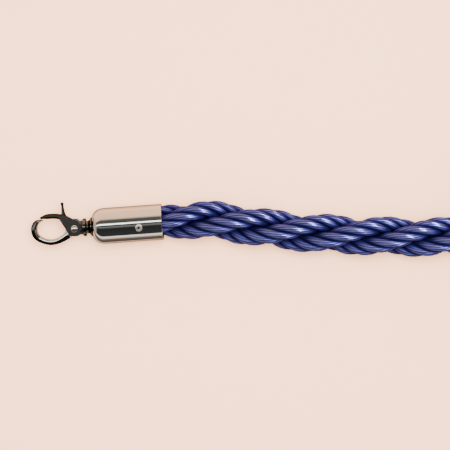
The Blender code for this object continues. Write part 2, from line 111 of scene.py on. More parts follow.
SHANK_RADIUS = 2.5 * MM
SHANK_END = 48.2 * MM
COLLAR_BACK = 33.9 * MM
COLLAR_FRONT = 36.2 * MM
COLLAR_RADIUS = 6.6 * MM
COLLAR_EDGE = 0.45 * MM
BUSH_BACK = 36.9 * MM
BUSH_SMALL_RADIUS = 4.6 * MM
BUSH_LARGE_RADIUS = 6.9 * MM
BUSH_BACK_EDGE = 0.2 * MM
BUSH_FRONT_EDGE = 0.3 * MM
BUSH_FLARE_LENGTH = 2.7 * MM
BUSH_FLARE_POWER = 2.2
BUSH_FLARE_STEPS = 8
BUSH_BORE_GAP = 0.15 * MM
BUSH_CAP_GAP = 0.1 * MM
TURNED_SIDES = 96
SMALL_SIDES = 48
SHARP_TURNED = 30
SHARP_CAST = 38

# Hook and gate: bars as (x, y, half width, half depth) along their middle line
PIVOT = (27.8 * MM, -0.6 * MM)
BAR_CORNERS = 32
BAR_SQUARENESS = 3.4
STATIONS_PER_SPAN = 8
BOW_ROUTE_MM = (
    (25.2, -3.2, 2.6, 3.3), (21.6, -5.4, 2.6, 3.3), (16.2, -8.2, 2.2, 2.9),
    (9.6, -9.3, 2.15, 2.7), (3.4, -7.5, 2.2, 2.6), (-0.8, -4.3, 2.3, 2.6),
    (-2.15, -0.6, 2.35, 2.6), (-1.75, 3.1, 2.25, 2.5), (0.15, 5.95, 1.8, 2.3),
    (2.9, 7.02, 0.9, 2.1), (4.6, 7.22, 0.5, 1.9),
)
ARM_ROUTE_MM = (
    (20.9, 7.4, 2.2, 3.55), (18.4, 8.6, 2.1, 3.4), (15.2, 9.45, 2.0, 3.2),
    (11.4, 9.8, 1.95, 3.0), (7.8, 9.75, 1.85, 2.8), (5.0, 9.35, 1.3, 2.6),
    (2.7, 8.8, 0.75, 2.4),
)
LEVER_ROUTE_MM = (
    (20.5, 8.4, 1.9, 3.3), (20.0, 11.0, 1.3, 3.1), (19.75, 14.2, 0.95, 3.0),
    (19.6, 17.6, 0.85, 2.9), (19.55, 18.7, 1.05, 2.9), (19.55, 19.4, 0.8, 2.6),
)
TONGUE_HALF_DEPTH = 2.2 * MM
TONGUE_DISCS_MM = ((28.2, 1.0, 5.95), (22.8, -2.4, 2.7), (33.6, 4.3, 0.9), (33.6, -4.3, 0.9))
CHEEK_INNER = 2.5 * MM
CHEEK_OUTER = 3.7 * MM
CHEEK_RADIUS = 5.6 * MM
CHEEK_TOE_MM = (19.4, 8.0, 2.5)
CHEEK_CLEARANCE = 0.4 * MM
CHEEK_RECESS_DEPTH = 0.05 * MM
CUT_REACH = 2 * CHEEK_OUTER
EYE_CENTRE = (10.0 * MM, 0.5 * MM)
NOSE_END = 1.0 * MM
BOW_END = 24.0 * MM
# Darker tone of the hook's base collar and the bush
COLLAR_DARK_TONE = 0.86
# Painted dark reflection on the bow's outer side: where it starts and how fast it fades
DARK_REFLECTION_LINE_POINTS = 240
DARK_REFLECTION_SIDE_START = 0.25
DARK_REFLECTION_NOSE_START = 1.0
DARK_REFLECTION_FADE = 0.4
CAST_VOXEL = 0.24 * MM
CAST_SOFTENING = 0.5
CAST_SMOOTHING = 3

RIVET_RADIUS = 1.5 * MM
RIVET_HEAD_RADIUS = 2.55 * MM
RIVET_HEAD_HEIGHT = 0.8 * MM
RIVET_SEAT = 4.0 * MM
RIVET_DOME = range(12, 91, 6)
RIVET_SIDES = 64
SPRING_WIRE_RADIUS = 0.35 * MM
SPRING_RADIUS = 2.55 * MM
SPRING_TURNS = 2.85
SPRING_PITCH = 0.85 * MM
SPRING_START = -0.85 * MM
SPRING_LEG = 7.2 * MM
SPRING_LEG_ANGLE = 150
SPRING_TURN_POINTS = 32
SPRING_SIDES = 10
SPRING_STEP = 0.5 * MM
POCKET_RADIUS = 3.4 * MM
POCKET_FLOOR = -1.5 * MM
LEG_SLOT_FLOOR = 0.9 * MM
LEG_SLOT_ANGLES = (62, 150)
LEG_SLOT_POINTS = 24
RECESS_POINTS = 96

SCREW_AT = 75.6 * MM
SCREW_TILT = 14
SCREW_RADIUS = 1.5 * MM
SCREW_HEAD_RADIUS = 2.6 * MM
SCREW_HEAD_HEIGHT = 0.75 * MM
SCREW_DEPTH = 8.0 * MM
SCREW_SEAT_GAP = 0.05 * MM
SCREW_RIM = 0.2 * MM
SCREW_DOME = range(0, 61, 6)
SCREW_RECESS_RADIUS = 0.42 * SCREW_HEAD_RADIUS
SCREW_RECESS_DEPTH = 0.4 * MM

BINDING_RADIUS = 11.3 * MM
BINDING_START = 60.0 * MM
BINDING_END = 90.5 * MM
TWINE_RADIUS = 0.55 * MM
TWINE_TURN_POINTS = 48
TWINE_SIDES = 8
TWINE_STEP = 1.4 * MM

# Tie strap round both runs
TIE_AT = 530.0 * MM
TIE_WIDTH = 22.0 * MM
TIE_LAYER = 0.8 * MM
TIE_CLEARANCE = 0.4 * MM
TIE_RUNS_Y = (-16.5 * MM, 15.0 * MM)
TIE_RUN_HEIGHT = 2.0 * MM
TIE_TURNS = 1.83
TIE_LOOSENESS = 0.12
TIE_ARC_STEPS = 28
TIE_FLAT_STEPS = 12
TIE_CORNERS = 28
TIE_HALF_THICKNESS = 0.46 * TIE_LAYER
TIE_ROUNDED_END = 9 * MM
TIE_TIP = 0.02
TIE_SQUARENESS = (0.35, 0.5)

# Camera and room: lamps as (place, size, watts, aim, tint), the tent's bands as (degrees, tint)
FLOOR_HEIGHT = CAD_BOX[0].z
VIEW_CENTRE = (0.1379, -0.0056)
VIEW_WIDTH = 0.3308
VIEW_TURN = -4.04
LENS = 85.0
SENSOR = 36.0
NEAREST_SEEN = 0.01
TABLE_HALF_SIZE = 4.0
TABLE_CELLS = 24
TABLE_CENTRE = (0.3, 0.0)
TABLE_DROP = 0.0002
FILL = (2.4, 2.15, 2.0)
KEY_LAMP = ((0.20, 0.09, 0.90), (0.55, 0.50), 29.0, (0.17, 0, 0), (1.0, 0.88, 0.80))
STRIP_LAMP = ((0.95, 0.12, 0.90), (1.30, 0.06), 160.0, (0.20, 0, 0), (0.72, 0.78, 1.0))
CARD_COLOUR = (0.045, 0.042, 0.038)
CARDS = (
    ("lever_opposite_card", (-0.30, -0.30), (1.0, -0.034)),
    ("hook_end_card", (-0.30, -0.034), (-0.022, 0.05)),
)
TENT_BANDS = (
    (-90, (0.5, 0.45, 0.42)), (-85, (3.0, 2.9, 2.8)), (-77, (3.0, 2.9, 2.8)),
    (-72, (0.08, 0.08, 0.08)), (-20, (0.05, 0.05, 0.055)), (-13, (0.40, 0.40, 0.38)),
    (-6, (0.40, 0.40, 0.38)), (-4, (0.05, 0.05, 0.05)), (2.5, (0.05, 0.05, 0.05)),
    (4.5, (9.0, 9.3, 9.0)), (9, (9.0, 9.3, 9.0)), (12, (0.20, 0.20, 0.18)),
    (33, (0.20, 0.20, 0.18)), (46, (3.2, 2.1, 1.4)), (90, (3.6, 2.3, 1.5)),
)
TENT_END_TINT = (1.2, 1.05, 0.9)
TENT_END_FADE = (0.80, 0.96)

# Finishes: noise as (scale, detail), stretched noise as (scale along each axis, detail),
# roughness as (value at 0, change to 1), relief as (strength, depth)
CHROME = (0.42, 0.415, 0.40)
NICKEL = (0.74, 0.72, 0.68)
# Dark plating tone of the gate; also the colour of the painted dark reflections on the hook
DARK_PLATING_AND_REFLECTION = (0.022, 0.021, 0.020)
CHROME_EDGE = (0.11, 0.15, 0.18)
SMOKED_EDGE = (0.034, 0.046, 0.056)
CHROME_ROUGHNESS = 0.05
SMOKED_ROUGHNESS = 0.24
NICKEL_ROUGHNESS = 0.34
SMUDGE = (90.0, 3.0)
SMUDGE_SHADE = 0.85
SMUDGE_SHARE = 0.5
SMUDGE_ROUGHNESS = 0.05
WIPING_ROUGHNESS = 0.03
WIPING_DEPTH = 0.004
WIPING = ((300.0, 2600.0, 2600.0), 2.0)
PLATING_WAVE = (140.0, 1.0)
PLATING_RELIEF = (0.2, 0.10 * MM)
SATIN = {
    "Metallic": 0.6, "Specular IOR Level": 0.0, "Specular Tint": (0.25, 0.25, 0.6, 1.0),
}
SATIN_BODY = ((0.045, 0.046, 0.125), (0.084, 0.085, 0.212))
# Painted shade: darker between the yarns, and deep navy in the gaps where the plies sink
SATIN_PAINTED_GROOVE_SHADE = (0.013, 0.014, 0.058)
SATIN_PAINTED_GAP_SHADE = (0.0040, 0.0032, 0.028)
SATIN_STANDING = (0.50, 0.92)
SATIN_CREST = (0.70, 0.98)
STREAKS_ROUND = 9.0
STREAKS_ALONG = 60.0
STREAKS_PER_PLY = 7.3
STREAKS_DEPTH = 0.5
SATIN_ROUGHNESS = (0.80, -0.62)
SATIN_STREAK_ROUGHNESS = 0.08
SATIN_RELIEF = (0.9, 0.16 * MM)
STEEL = ((0.42, 0.42, 0.43), (0.58, 0.57, 0.55))
STEEL_CLOUD = (500.0, 4.0)
STEEL_DRAWING = ((4000.0, 4000.0, 700.0), 2.0)
STEEL_ROUGHNESS = (0.28, 0.18)
STEEL_RELIEF = (0.3, 0.03 * MM)
TWINE = ((0.035, 0.038, 0.11), (0.075, 0.08, 0.20))
TWINE_FIBRE = ((2500.0, 900.0, 900.0), 4.0)
TWINE_ROUGHNESS = (0.6, 0.25)
TWINE_RELIEF = (0.5, 0.15 * MM)
WEBBING_SHEEN = {"Specular IOR Level": 0.15, "Sheen Weight": 0.04, "Sheen Roughness": 0.5}
WEBBING = ((0.004, 0.005, 0.014), (0.020, 0.022, 0.050))
WEBBING_WORN = (0.035, 0.036, 0.060)
WARP_PITCH = 1.1 * MM
WEFT_PITCH = 1.6 * MM
WEFT_STAGGER = 1.57
WEAR = (260.0, 4.0)
WEAR_SHARE = 0.25
WEBBING_ROUGHNESS = (0.70, 0.2)
WEBBING_RELIEF = (0.8, 0.25 * MM)
TABLE = ((0.92, 0.55, 0.35), (0.94, 0.57, 0.37))
TABLE_GRAIN = (30.0, 4.0)
TABLE_ROUGHNESS = (0.75, 0.1)


# ---- nodes

class Wire:
    """An output socket that takes part in arithmetic: each operator adds its Math node."""

    def __init__(self, net, socket):
        self.net = net
        self.socket = socket


def operator(operation, swapped):
    """A method of Wire that adds one Math node, its two values swapped for the reflected form."""
    def apply(wire, other):
        pair = (other, wire) if swapped else (wire, other)
        return wire.net.maths(operation, *pair)

    return apply


for word, operation in (
    ("add", "ADD"), ("sub", "SUBTRACT"), ("mul", "MULTIPLY"), ("truediv", "DIVIDE"), ("pow", "POWER"),
):
    setattr(Wire, f"__{word}__", operator(operation, False))
    setattr(Wire, f"__r{word}__", operator(operation, True))


class Net:
    """A node tree being wired up, for a material, a world or a shape."""

    def __init__(self, tree):
        self.tree = tree

    def node(self, kind, settings=None, inputs=None, out=0):
        """Adds one node; settings first, then its sockets' values or links."""
        node = self.tree.nodes.new(kind)
        for key, value in (settings or {}).items():
            if key == "stops":
                self.set_stops(node.color_ramp, value)
            else:
                setattr(node, key, value)
        for key, value in (inputs or {}).items():
            self.feed(node.inputs[key], value)
        return Wire(self, node.outputs[out])

    def set_stops(self, ramp, stops):
        while len(ramp.elements) < len(stops):
            ramp.elements.new(1.0)
        for element, (place, colour) in zip(ramp.elements, stops):
            element.position = place
            element.color = (*colour, 1.0)

    def feed(self, socket, value):
        if isinstance(value, Wire):
            self.tree.links.new(value.socket, socket)
        else:
            socket.default_value = value

    def maths(self, operation, *values):
        inputs = dict(enumerate(values))
        return self.node("ShaderNodeMath", {"operation": operation}, inputs)

    def vector(self, operation, *values, out=0):
        inputs = dict(enumerate(values))
        return self.node("ShaderNodeVectorMath", {"operation": operation}, inputs, out)

    def scaled(self, vector, factor):
        return self.node("ShaderNodeVectorMath", {"operation": "SCALE"}, {0: vector, 3: factor})

    def clamped(self, value):
        return self.maths("MINIMUM", self.maths("MAXIMUM", value, 0.0), 1.0)

    def eased(self, value, low, high):
        """0 below low, 1 above high, smooth between."""
        settings = {"interpolation_type": "SMOOTHSTEP"}
        inputs = {"Value": value, "From Min": low, "From Max": high}
        return self.node("ShaderNodeMapRange", settings, inputs)

    def blend(self, factor, first, second):
        settings = {"data_type": "RGBA"}
        inputs = {0: factor, 6: first, 7: second}
        return self.node("ShaderNodeMix", settings, inputs, out=2)

    def attribute(self, name, out=2):
        return self.node("ShaderNodeAttribute", {"attribute_name": name}, out=out)

    def noise(self, place, scale, detail=2.0):
        inputs = {"Vector": place, "Scale": scale, "Detail": detail}
        return self.node("ShaderNodeTexNoise", {}, inputs)

    def stretched_noise(self, place, scales, detail):
        """Noise with its own scale along each axis."""
        return self.noise(self.vector("MULTIPLY", place, scales), 1.0, detail)

    def recalled(self, name, kind="FLOAT"):
        settings = {"data_type": kind}
        return self.node("GeometryNodeInputNamedAttribute", settings, {"Name": name})

    def resampled(self, curve, step):
        inputs = {"Curve": curve, "Length": step}
        return self.node("GeometryNodeResampleCurve", {"mode": "LENGTH"}, inputs)

    def swept(self, curve, profile, scale=1.0):
        inputs = {"Curve": curve, "Profile Curve": profile, "Scale": scale, "Fill Caps": True}
        return self.node("GeometryNodeCurveToMesh", {}, inputs)


def opaque(tint):
    return (*tint, 1.0)


def ranged(value, limits):
    return limits[0] + value * limits[1]


def finish_material(name, constants):
    """A Principled material with its even values set, and its net, shader and coordinates."""
    material = bpy.data.materials.new(name)
    material.use_nodes = True
    net = Net(material.node_tree)
    shader = material.node_tree.nodes["Principled BSDF"]
    for key, value in constants.items():
        shader.inputs[key].default_value = value
    place = net.node("ShaderNodeTexCoord", out=3)
    return material, net, shader, place


def dress(net, shader, tint, roughness, height=None, relief=None):
    """Feeds a shader its varying colour and roughness, and its relief where it has one."""
    net.feed(shader.inputs["Base Color"], tint)
    net.feed(shader.inputs["Roughness"], roughness)
    if relief is not None:
        inputs = {"Strength": relief[0], "Distance": relief[1], "Height": height}
        net.feed(shader.inputs["Normal"], net.node("ShaderNodeBump", {}, inputs))


# ---- finishes

def satin_rope():
    """Royal blue rayon: lustrous yarns on each ply's crest, with painted shade darker between the
    yarns and deep navy where the plies sink.
    """
    material, net, shader, _ = finish_material("royal_blue_rayon", SATIN)
    along = net.attribute("along")
    sine = net.attribute("around_sine")
    cosine = net.attribute("around_cosine")
    phase = net.maths("ARCTAN2", sine, cosine) * YARNS + along * (YARNS * math.tau / YARN_LAY)
    yarns = net.maths("SINE", phase) * 0.5 + 0.5
    streak_place = net.node(
        "ShaderNodeCombineXYZ", {},
        {0: sine * STREAKS_ROUND, 1: cosine * STREAKS_ROUND,
         2: along * STREAKS_ALONG + net.attribute("ply") * STREAKS_PER_PLY},
    )
    streaks = net.noise(streak_place, 1.0, 3.0)
    standing = net.eased(net.attribute("standing"), *SATIN_STANDING)
    crest = net.eased(net.attribute("crest"), *SATIN_CREST)
    # 1 on the ply crests, 0 where the plies sink: glossier on the crests, and the mask of the painted
    # gap shade
    crest_lustre_and_light = standing * crest
    body = net.blend(streaks, *map(opaque, SATIN_BODY))
    # painted shade in the grooves between yarns
    body = net.blend(yarns, opaque(SATIN_PAINTED_GROOVE_SHADE), body)
    # painted shade, deep navy where the plies sink
    tint = net.blend(crest_lustre_and_light, opaque(SATIN_PAINTED_GAP_SHADE), body)
    roughness = ranged(crest_lustre_and_light, SATIN_ROUGHNESS) + crest_lustre_and_light * streaks * SATIN_STREAK_ROUGHNESS
    dress(net, shader, tint, roughness, yarns + streaks * STREAKS_DEPTH, SATIN_RELIEF)
    return material


def plating(name, bright, edge, roughness):
    """Plating over cast and turned brass, a little wavy, with faint wiping marks; it darkens to the
    dark tone where the mesh's stored darkening value is high, which paints dark reflections on the
    hook's bow and a darker tone on its collar and the bush."""
    constants = {"Metallic": 1.0, "Specular Tint": opaque(edge)}
    material, net, shader, place = finish_material(name, constants)
    smudge = net.noise(place, *SMUDGE)
    marks = net.stretched_noise(place, *WIPING)
    smudged = tuple(SMUDGE_SHADE * part for part in bright)
    clean = net.blend(smudge * SMUDGE_SHARE, opaque(bright), opaque(smudged))
    # painted dark reflection on the hook's bow, a darker tone on its collar and the bush
    tint = net.blend(net.attribute("shade"), clean, opaque(DARK_PLATING_AND_REFLECTION))
    uneven = roughness + smudge * SMUDGE_ROUGHNESS + marks * WIPING_ROUGHNESS
    wave = net.noise(place, *PLATING_WAVE) + marks * WIPING_DEPTH
    dress(net, shader, tint, uneven, wave, PLATING_RELIEF)
    return material


def plain_steel():
    material, net, shader, place = finish_material("plain_steel", {"Metallic": 1.0})
    cloud = net.noise(place, *STEEL_CLOUD)
    drawn = net.stretched_noise(place, *STEEL_DRAWING)
    tint = net.blend(cloud, *map(opaque, STEEL))
    dress(net, shader, tint, ranged(cloud, STEEL_ROUGHNESS), drawn, STEEL_RELIEF)
    return material


def waxed_twine():
    material, net, shader, place = finish_material("waxed_twine", {})
    fibre = net.stretched_noise(place, *TWINE_FIBRE)
    tint = net.blend(fibre, *map(opaque, TWINE))
    dress(net, shader, tint, ranged(fibre, TWINE_ROUGHNESS), fibre, TWINE_RELIEF)
    return material


def woven_strap():
    """Close-woven webbing: ribs across the strap, broken into picks by the warp."""
    material, net, shader, _ = finish_material("navy_webbing", WEBBING_SHEEN)
    along = net.attribute("along")
    across = net.attribute("across")
    warp = net.maths("SINE", across * (math.tau / WARP_PITCH))
    stagger = net.maths("SIGN", warp) * WEFT_STAGGER
    weft = net.maths("SINE", along * (math.tau / WEFT_PITCH) + stagger)
    weave = weft * net.maths("ABSOLUTE", warp) * 0.5 + 0.5
    worn = net.noise(net.node("ShaderNodeCombineXYZ", {}, {0: along, 1: across}), *WEAR)
    tint = net.blend(weave, *map(opaque, WEBBING))
    tint = net.blend(worn * WEAR_SHARE, tint, opaque(WEBBING_WORN))
    dress(net, shader, tint, ranged(worn, WEBBING_ROUGHNESS), weave, WEBBING_RELIEF)
    return material


def studio_table():
    material, net, shader, place = finish_material("table_paper", {})
    grain = net.noise(place, *TABLE_GRAIN)
    dress(net, shader, net.blend(grain, *map(opaque, TABLE)), ranged(grain, TABLE_ROUGHNESS))
    return material


# ---- shapes

def millimetres(rows):
    """Rows of numbers in millimetres, as metres."""
    return [tuple(value * MM for value in row) for row in rows]


def smooth_line(points, count):
    """Evenly spaced points on the natural cubic spline through the given points."""
    points = np.array(points, float)
    steps = np.linalg.norm(np.diff(points[:, :3], axis=0), axis=1)
    knots = np.concatenate([[0.0], np.cumsum(steps)])
    size = len(points)
    system = np.eye(size)
    slopes = np.diff(points, axis=0) / steps[:, None]
    target = np.zeros_like(points)
    for k in range(1, size - 1):
        system[k, k - 1 : k + 2] = steps[k - 1], 2 * (steps[k - 1] + steps[k]), steps[k]
        target[k] = 6 * (slopes[k] - slopes[k - 1])
    bend = np.linalg.solve(system, target)

    def at(s):
        k = min(max(int(np.searchsorted(knots, s)) - 1, 0), size - 2)
        h = steps[k]
        a, b = (knots[k + 1] - s) / h, (s - knots[k]) / h
        cubic = ((a**3 - a) * bend[k] + (b**3 - b) * bend[k + 1]) * h * h / 6
        return a * points[k] + b * points[k + 1] + cubic

    fine = np.array([at(s) for s in np.linspace(0, knots[-1], SPLINE_SAMPLES * size)])
    along = np.linalg.norm(np.diff(fine[:, :3], axis=0), axis=1)
    along = np.concatenate([[0.0], np.cumsum(along)])
    even = np.linspace(0, along[-1], count)
    return np.array([np.interp(even, along, column) for column in fine.T]).T


def rounded(mesh, sharp_degrees):
    """Smooth shading, broken where faces meet at more than an angle."""
    mesh.shade_smooth()
    mesh.set_sharp_from_angle(angle=math.radians(sharp_degrees))
    return mesh


def to_mesh(name, shape, sharp_degrees=40):
    bmesh.ops.recalc_face_normals(shape, faces=shape.faces)
    mesh = bpy.data.meshes.new(name)
    shape.to_mesh(mesh)
    shape.free()
    return rounded(mesh, sharp_degrees)


def add_object(name, data, material=None):
    obj = bpy.data.objects.new(name, data)
    bpy.context.scene.collection.objects.link(obj)
    if material is not None:
        data.materials.append(material)
    return obj


def evaluated_mesh(obj, name):
    """The object's mesh with its modifiers applied; the object itself is removed."""
    graph = bpy.context.evaluated_depsgraph_get()
    mesh = bpy.data.meshes.new_from_object(obj.evaluated_get(graph), depsgraph=graph)
    mesh.name = name
    bpy.data.objects.remove(obj)
    return mesh


def turned(outline, sides, closed=True):
    """A solid turned about X from an outline of (x, radius) points."""
    shape = bmesh.new()
    verts = [shape.verts.new((x, r, 0)) for x, r in outline]
    pairs = list(zip(verts, verts[1:]))
    if closed:
        pairs.append((verts[-1], verts[0]))
    edges = [shape.edges.new(pair) for pair in pairs]
    bmesh.ops.spin(
        shape, geom=verts + edges, cent=(0, 0, 0), axis=(1, 0, 0),
        angle=math.tau, steps=sides, use_merge=True,
    )
    bmesh.ops.remove_doubles(shape, verts=shape.verts, dist=1e-6)
    return shape


def rod(radius, low, high, sides=TURNED_SIDES):
    return turned([(low, 0), (low, radius), (high, radius), (high, 0)], sides, closed=False)


def quarter_turn(x, r, radius, start, steps=5):
    """Points of a rounded edge about (x, r), a quarter circle from the start angle downwards."""
    angles = [math.radians(start - 90 * k / steps) for k in range(steps + 1)]
    return [(x + radius * math.cos(a), r + radius * math.sin(a)) for a in angles]


def dome_points(x, height, radius, degrees):
    """Points up the side of a flattened dome that stands on x."""
    turns = [math.radians(a) for a in degrees]
    return [(x + height * math.sin(a), radius * math.cos(a)) for a in turns]


def bar(route):
    """A rounded bar swept in the XY plane along (x, y, half width, half depth) rows."""
    spans = (len(route) - 1) * STATIONS_PER_SPAN + 1
    rows = smooth_line([(x, y, 0, a, b) for x, y, a, b in route], spans)
    ways = np.gradient(rows[:, :2], axis=0)
    ways /= np.linalg.norm(ways, axis=1)[:, None]
    power = 2 / BAR_SQUARENESS
    shape = bmesh.new()
    rings = []
    for row, (wx, wy) in zip(rows, ways):
        x, y, _, a, b = row
        ring = []
        for k in range(BAR_CORNERS):
            turn = math.tau * (k + 0.5) / BAR_CORNERS
            c, s = math.cos(turn), math.sin(turn)
            u = a * math.copysign(abs(c) ** power, c)
            v = b * math.copysign(abs(s) ** power, s)
            ring.append(shape.verts.new((x - wy * u, y + wx * u, v)))
        rings.append(ring)
    for first, second in zip(rings, rings[1:]):
        for k in range(BAR_CORNERS):
            n = (k + 1) % BAR_CORNERS
            shape.faces.new((first[k], first[n], second[n], second[k]))
    shape.faces.new(rings[0])
    shape.faces.new(rings[-1])
    return shape


def circle_points(x, y, radius, count=72, start=0, stop=360):
    angles = [math.radians(start + (stop - start) * k / count) for k in range(count)]
    return [(x + radius * math.cos(a), y + radius * math.sin(a)) for a in angles]


def plate(outline, low, high):
    """A flat plate of one outline, between two heights."""
    shape = bmesh.new()
    face = shape.faces.new([shape.verts.new((x, y, low)) for x, y in outline])
    raised = bmesh.ops.extrude_face_region(shape, geom=[face])["geom"]
    moved = [item for item in raised if isinstance(item, bmesh.types.BMVert)]
    bmesh.ops.translate(shape, verts=moved, vec=(0, 0, high - low))
    return shape


def hull_plate(discs, low, high):
    """A plate round several discs, pulled tight like a belt."""
    points = [p for x, y, r in discs for p in circle_points(x, y, r)]
    return plate([points[k] for k in convex_hull_2d(points)], low, high)


def about_pivot(shape):
    """Turn a solid made about X into one about Z through the gate's pivot."""
    place = Matrix.Translation((*PIVOT, 0)) @ Matrix.Rotation(math.radians(-90), 4, "Y")
    bmesh.ops.transform(shape, matrix=place, verts=shape.verts)
    return shape


def helper(obj, operation, shape):
    """Adds a Boolean with its own tool object, and returns the tool for removal later."""
    tool = add_object(f"{obj.name}_tool", to_mesh("tool", shape))
    tool.hide_render = True
    modifier = obj.modifiers.new("cut", "BOOLEAN")
    modifier.operation = operation
    modifier.object = tool
    return tool


def cast_mesh(name, shells, steps):
    """Closed shells fused into one casting with soft inner corners, then joined and cut crisply."""
    whole = bmesh.new()
    for shell in shells:
        bmesh.ops.recalc_face_normals(shell, faces=shell.faces)
        part = bpy.data.meshes.new("shell")
        shell.to_mesh(part)
        shell.free()
        whole.from_mesh(part)
    mesh = bpy.data.meshes.new(name)
    whole.to_mesh(mesh)
    whole.free()
    obj = add_object(name, mesh)
    remesh = obj.modifiers.new("fuse", "REMESH")
    remesh.mode = "VOXEL"
    remesh.voxel_size = CAST_VOXEL
    remesh.use_smooth_shade = True
    smooth = obj.modifiers.new("soften", "SMOOTH")
    smooth.factor = CAST_SOFTENING
    smooth.iterations = CAST_SMOOTHING
    tools = [helper(obj, operation, shape) for operation, shape in steps]
    made = evaluated_mesh(obj, name)
    for tool in tools:
        bpy.data.objects.remove(tool)
    return rounded(made, SHARP_CAST)


def store_values(mesh, name, values):
    layer = mesh.attributes.new(name, "FLOAT", "POINT")
    layer.data.foreach_set("value", np.array(values, np.float32))
    return mesh


def paint_dark_reflection(mesh):
    """Stores where the hook's plating is darkened: 1 on the bow's outer side and its nose, a painted
    dark reflection; a little less on the base collar, a darker tone; 0 on the bow's inner side and the
    tongue."""
    rows = [(x * MM, y * MM, 0, a * MM) for x, y, a, _ in BOW_ROUTE_MM]
    line = smooth_line(rows, DARK_REFLECTION_LINE_POINTS)
    places = np.array([vert.co for vert in mesh.vertices])[:, :2]
    nearest = np.argmin(((places[:, None] - line[None, :, :2]) ** 2).sum(2), axis=1)
    middle = line[nearest, :2]
    outward = middle - np.array(EYE_CENTRE)
    outward /= np.linalg.norm(outward, axis=1)[:, None]
    side = ((places - middle) * outward).sum(1) / line[nearest, 3]
    # painted dark reflection, darker towards the bow's outer side and over the nose
    shade = np.clip((side + DARK_REFLECTION_SIDE_START) / DARK_REFLECTION_FADE, 0, 1)
    nose = np.clip((side + DARK_REFLECTION_NOSE_START) / DARK_REFLECTION_FADE, 0, 1) * (middle[:, 0] < NOSE_END)
    shade = np.maximum(shade, nose)
    base = COLLAR_DARK_TONE * (places[:, 0] > COLLAR_BACK - MM)
    return store_values(mesh, "shade", np.where(places[:, 0] > BOW_END, base, shade))


def rivet_hole():
    return "DIFFERENCE", about_pivot(rod(RIVET_RADIUS, -CUT_REACH, CUT_REACH, SMALL_SIDES))


def hook_mesh():
    """Bow, tongue, base collar and shank, with recesses for the gate's cheeks and spring."""
    tongue = hull_plate(millimetres(TONGUE_DISCS_MM), -TONGUE_HALF_DEPTH, TONGUE_HALF_DEPTH)
    edge = COLLAR_EDGE
    collar = [(COLLAR_BACK, 0)]
    collar += quarter_turn(COLLAR_BACK + edge, COLLAR_RADIUS - edge, edge, 180)
    collar += quarter_turn(COLLAR_FRONT - edge, COLLAR_RADIUS - edge, edge, 90)
    collar += [(COLLAR_FRONT, SHANK_RADIUS)]
    collar += quarter_turn(SHANK_END - edge, SHANK_RADIUS - edge, edge, 90) + [(SHANK_END, 0)]
    floor = TONGUE_HALF_DEPTH - CHEEK_RECESS_DEPTH
    recess = circle_points(*PIVOT, CHEEK_RADIUS + CHEEK_CLEARANCE, RECESS_POINTS)
    fan = [PIVOT] + circle_points(*PIVOT, 2 * CHEEK_RADIUS, LEG_SLOT_POINTS, *LEG_SLOT_ANGLES)
    steps = [
        ("UNION", turned(collar, TURNED_SIDES, closed=False)),
        ("DIFFERENCE", plate(recess, floor, CUT_REACH)),
        ("DIFFERENCE", plate(recess, -CUT_REACH, -floor)),
        rivet_hole(),
        ("DIFFERENCE", about_pivot(rod(POCKET_RADIUS, POCKET_FLOOR, CUT_REACH, RIVET_SIDES))),
        ("DIFFERENCE", plate(fan, LEG_SLOT_FLOOR, CUT_REACH)),
    ]
    mesh = cast_mesh("hook", [bar(millimetres(BOW_ROUTE_MM)), tongue], steps)
    return paint_dark_reflection(mesh)


def gate_mesh():
    """Arm over the eye, two cheeks on the rivet and a thumb lever, in one casting."""
    shells = [bar(millimetres(ARM_ROUTE_MM)), bar(millimetres(LEVER_ROUTE_MM))]
    toe = millimetres([CHEEK_TOE_MM])[0]
    for low, high in ((CHEEK_INNER, CHEEK_OUTER), (-CHEEK_OUTER, -CHEEK_INNER)):
        shells.append(hull_plate([(*PIVOT, CHEEK_RADIUS), toe], low, high))
    return cast_mesh("gate", shells, [rivet_hole()])


def rivet_mesh():
    """A shouldered rivet with a low domed head at each end."""
    dome = dome_points(RIVET_SEAT, RIVET_HEAD_HEIGHT, RIVET_HEAD_RADIUS, RIVET_DOME)
    half = [(RIVET_SEAT, RIVET_RADIUS), (RIVET_SEAT, RIVET_HEAD_RADIUS)] + dome
    outline = [(-x, r) for x, r in reversed(half)] + half
    return to_mesh("rivet", about_pivot(turned(outline, RIVET_SIDES, closed=False)))


def bush_mesh():
    """The flared bush between the hook's base and the cap."""
    bore = SHANK_RADIUS + BUSH_BORE_GAP
    front = CAP_FRONT - BUSH_CAP_GAP
    rise = BUSH_LARGE_RADIUS - BUSH_SMALL_RADIUS
    outline = [(BUSH_BACK, bore), (BUSH_BACK, BUSH_SMALL_RADIUS - BUSH_BACK_EDGE)]
    for k in range(BUSH_FLARE_STEPS + 1):
        share = k / BUSH_FLARE_STEPS
        x = BUSH_BACK + BUSH_BACK_EDGE + share * BUSH_FLARE_LENGTH
        outline.append((x, BUSH_SMALL_RADIUS + rise * share**BUSH_FLARE_POWER))
    edge = BUSH_FRONT_EDGE
    outline += quarter_turn(front - edge, BUSH_LARGE_RADIUS - edge, edge, 90)
    outline.append((front, bore))
    mesh = to_mesh("bush", turned(outline, TURNED_SIDES), SHARP_TURNED)
    # the whole bush takes the collar's darker tone
    return store_values(mesh, "shade", [COLLAR_DARK_TONE] * len(mesh.vertices))


def screw_place(side):
    """Frame of a fixing screw, its +X pointing out of the cap."""
    tilt = Matrix.Rotation(math.radians(SCREW_TILT + 180 * side), 4, "X")
    return Matrix.Translation((SCREW_AT, 0, 0)) @ tilt @ Matrix.Rotation(math.radians(-90), 4, "Y")


